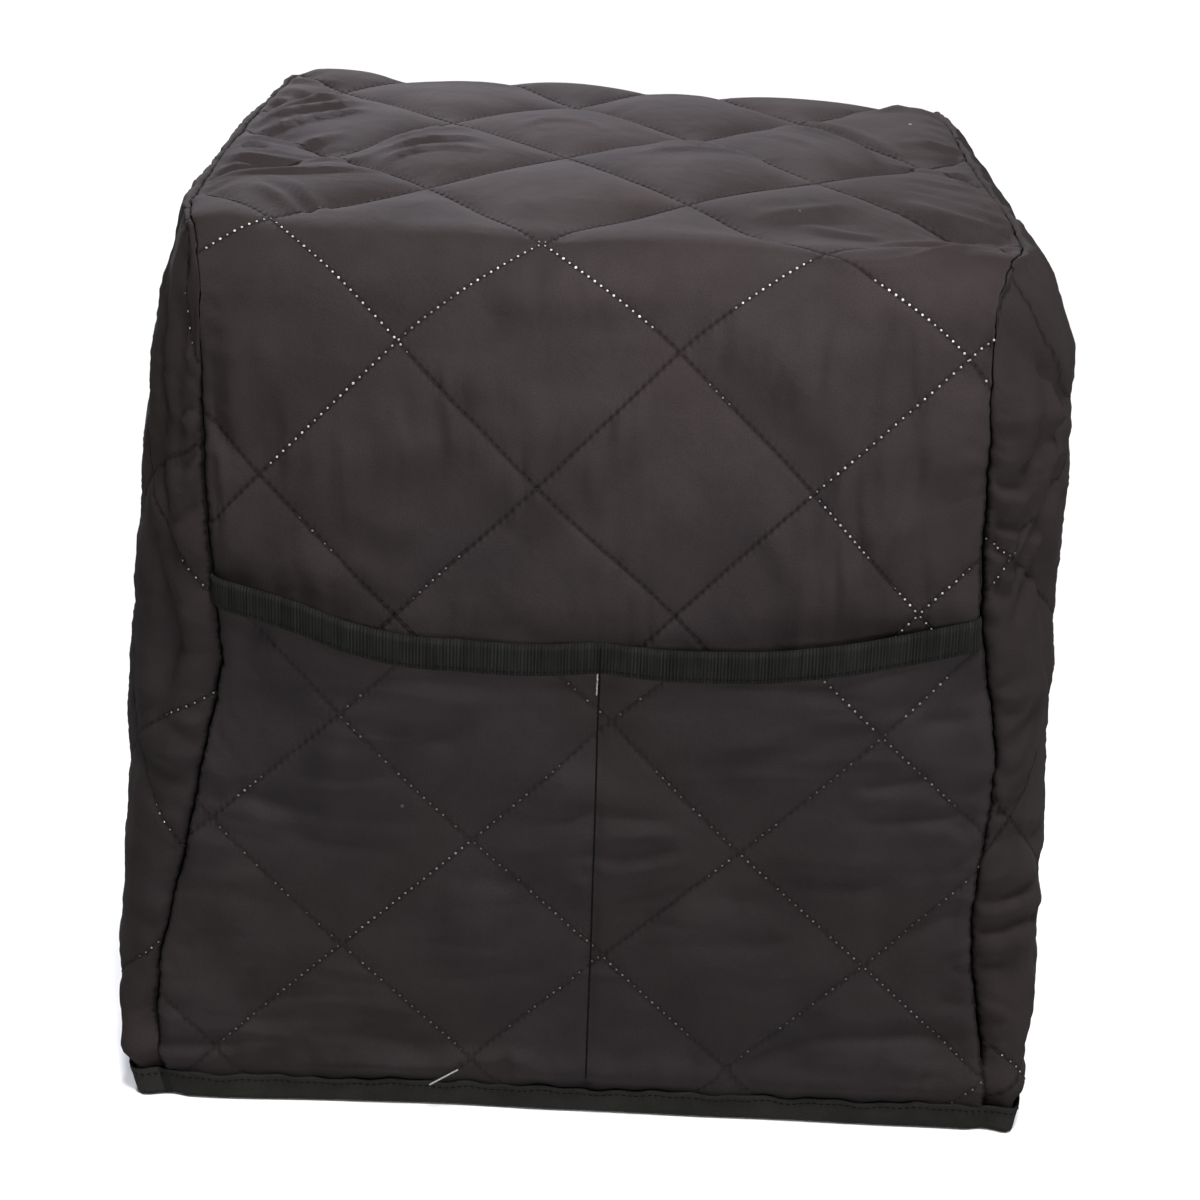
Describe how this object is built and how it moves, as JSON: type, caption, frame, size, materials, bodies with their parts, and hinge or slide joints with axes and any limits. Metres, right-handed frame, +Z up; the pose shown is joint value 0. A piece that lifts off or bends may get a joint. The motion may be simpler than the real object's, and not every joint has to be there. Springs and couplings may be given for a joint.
{
  "type": "coffee machine cover",
  "caption": "Boxy quilted cloth cover for a countertop coffee machine, open below, with ribbon-bound pockets across the lower front.",
  "frame": {"origin": "middle of the cover's outline seen from above, at the height of the hem's foot", "axes": "+X to the right as the front is looked at, +Y from the pocket side to the back, +Z up"},
  "size_m": [0.3988, 0.3354, 0.3762],
  "materials": {
    "quilted_cloth": "dark brown-grey quilted polyester with a faint sheen",
    "pocket_cloth": "the same quilted polyester, a little darker",
    "ribbon": "ribbed matte black ribbon",
    "hem_tape": "plain matte black tape"
  },
  "bodies": {
    "root": {"centre_strip": "quilted_cloth", "side_panel_left": "quilted_cloth", "side_panel_right": "quilted_cloth", "front_pocket": "pocket_cloth", "pocket_ribbon": "ribbon", "hem_tape": "hem_tape"}
  },
  "joints": []
}
